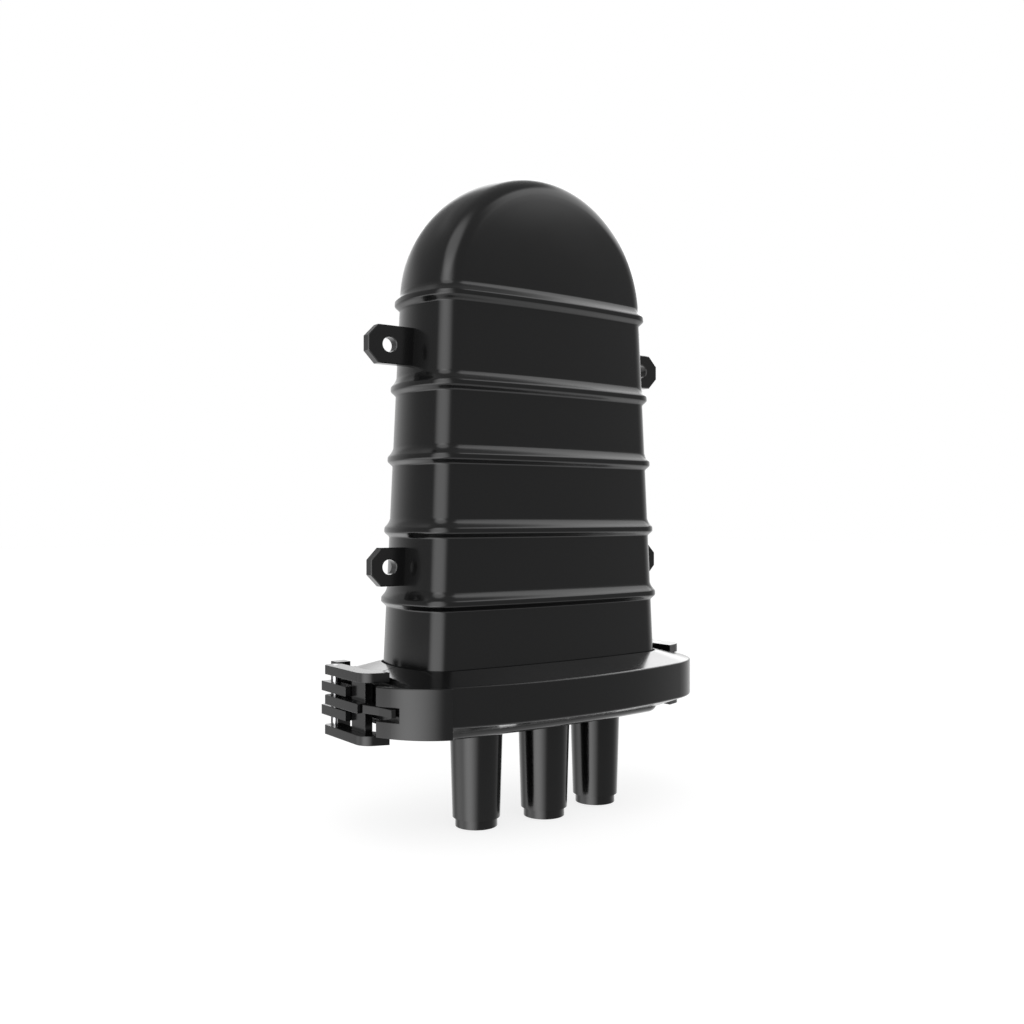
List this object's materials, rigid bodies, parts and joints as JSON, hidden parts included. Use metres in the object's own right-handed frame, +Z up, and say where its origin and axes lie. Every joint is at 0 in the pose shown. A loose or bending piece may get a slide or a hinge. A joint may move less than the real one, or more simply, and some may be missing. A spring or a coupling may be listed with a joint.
{
  "type": "fibre splice closure",
  "caption": "Domed fibre splice closure: ribbed cover with fixing ears, hinged clamp ring with a side latch, base with tapered cable ports and splice trays inside.",
  "frame": {"origin": "centre of the four fixing-ear holes, on the middle plane of the ears", "axes": "+Z up to the dome top, +X along the wide face to the clamp hinge, -Y is the front where the ports stand forward"},
  "size_m": [0.25, 0.1326, 0.3995],
  "materials": {
    "cover_black": "satin moulded",
    "clamp_black": "satin moulded",
    "seal_black": "soft",
    "inner_grey": "moulded",
    "cover_clear": "smoke clear",
    "steel": "plated",
    "sleeve_clear": "clear heat-shrink",
    "strap_black": "hook and loop tape"
  },
  "bodies": {
    "closure": {"dome_cover": "cover_black", "base_body": "cover_black", "seal_gasket": "seal_black", "clamp_rear_half": "clamp_black", "hinge_pin": "steel", "tray_bracket": "inner_grey", "bracket_screws": "steel", "anchor_screws": "steel", "anchor_rivets": "steel", "tray_hinge_pins": "steel", "tray_cover": "cover_clear", "tray_strap": "strap_black", "slack_basket": "inner_grey", "cable_anchor_left": "steel", "anchor_jaw_left": "steel", "cable_anchor_centre": "steel", "anchor_jaw_centre": "steel", "cable_anchor_right": "steel", "anchor_jaw_right": "steel", "splice_tray_1": "inner_grey", "splice_holder_1": "inner_grey", "splice_sleeves_1": "sleeve_clear", "splice_tray_2": "inner_grey", "splice_holder_2": "inner_grey", "splice_sleeves_2": "sleeve_clear", "splice_tray_3": "inner_grey", "splice_holder_3": "inner_grey", "splice_sleeves_3": "sleeve_clear"},
    "front_clamp": {"clamp_front_half": "clamp_black", "clamp_front_end": "clamp_black"},
    "latch": {"latch_lever": "clamp_black", "latch_pin": "steel"}
  },
  "joints": [
    {"name": "clamp_swing", "type": "hinge", "parent": "closure", "child": "front_clamp", "pos_m": [0.1175, 0, -0.1411], "axis": [0, 0, 1], "range_deg": [0, 100]},
    {"name": "latch_swing", "type": "hinge", "parent": "closure", "child": "latch", "pos_m": [-0.11975, 0.027, -0.144], "axis": [0, 0, -1], "range_deg": [0, 140]}
  ]
}
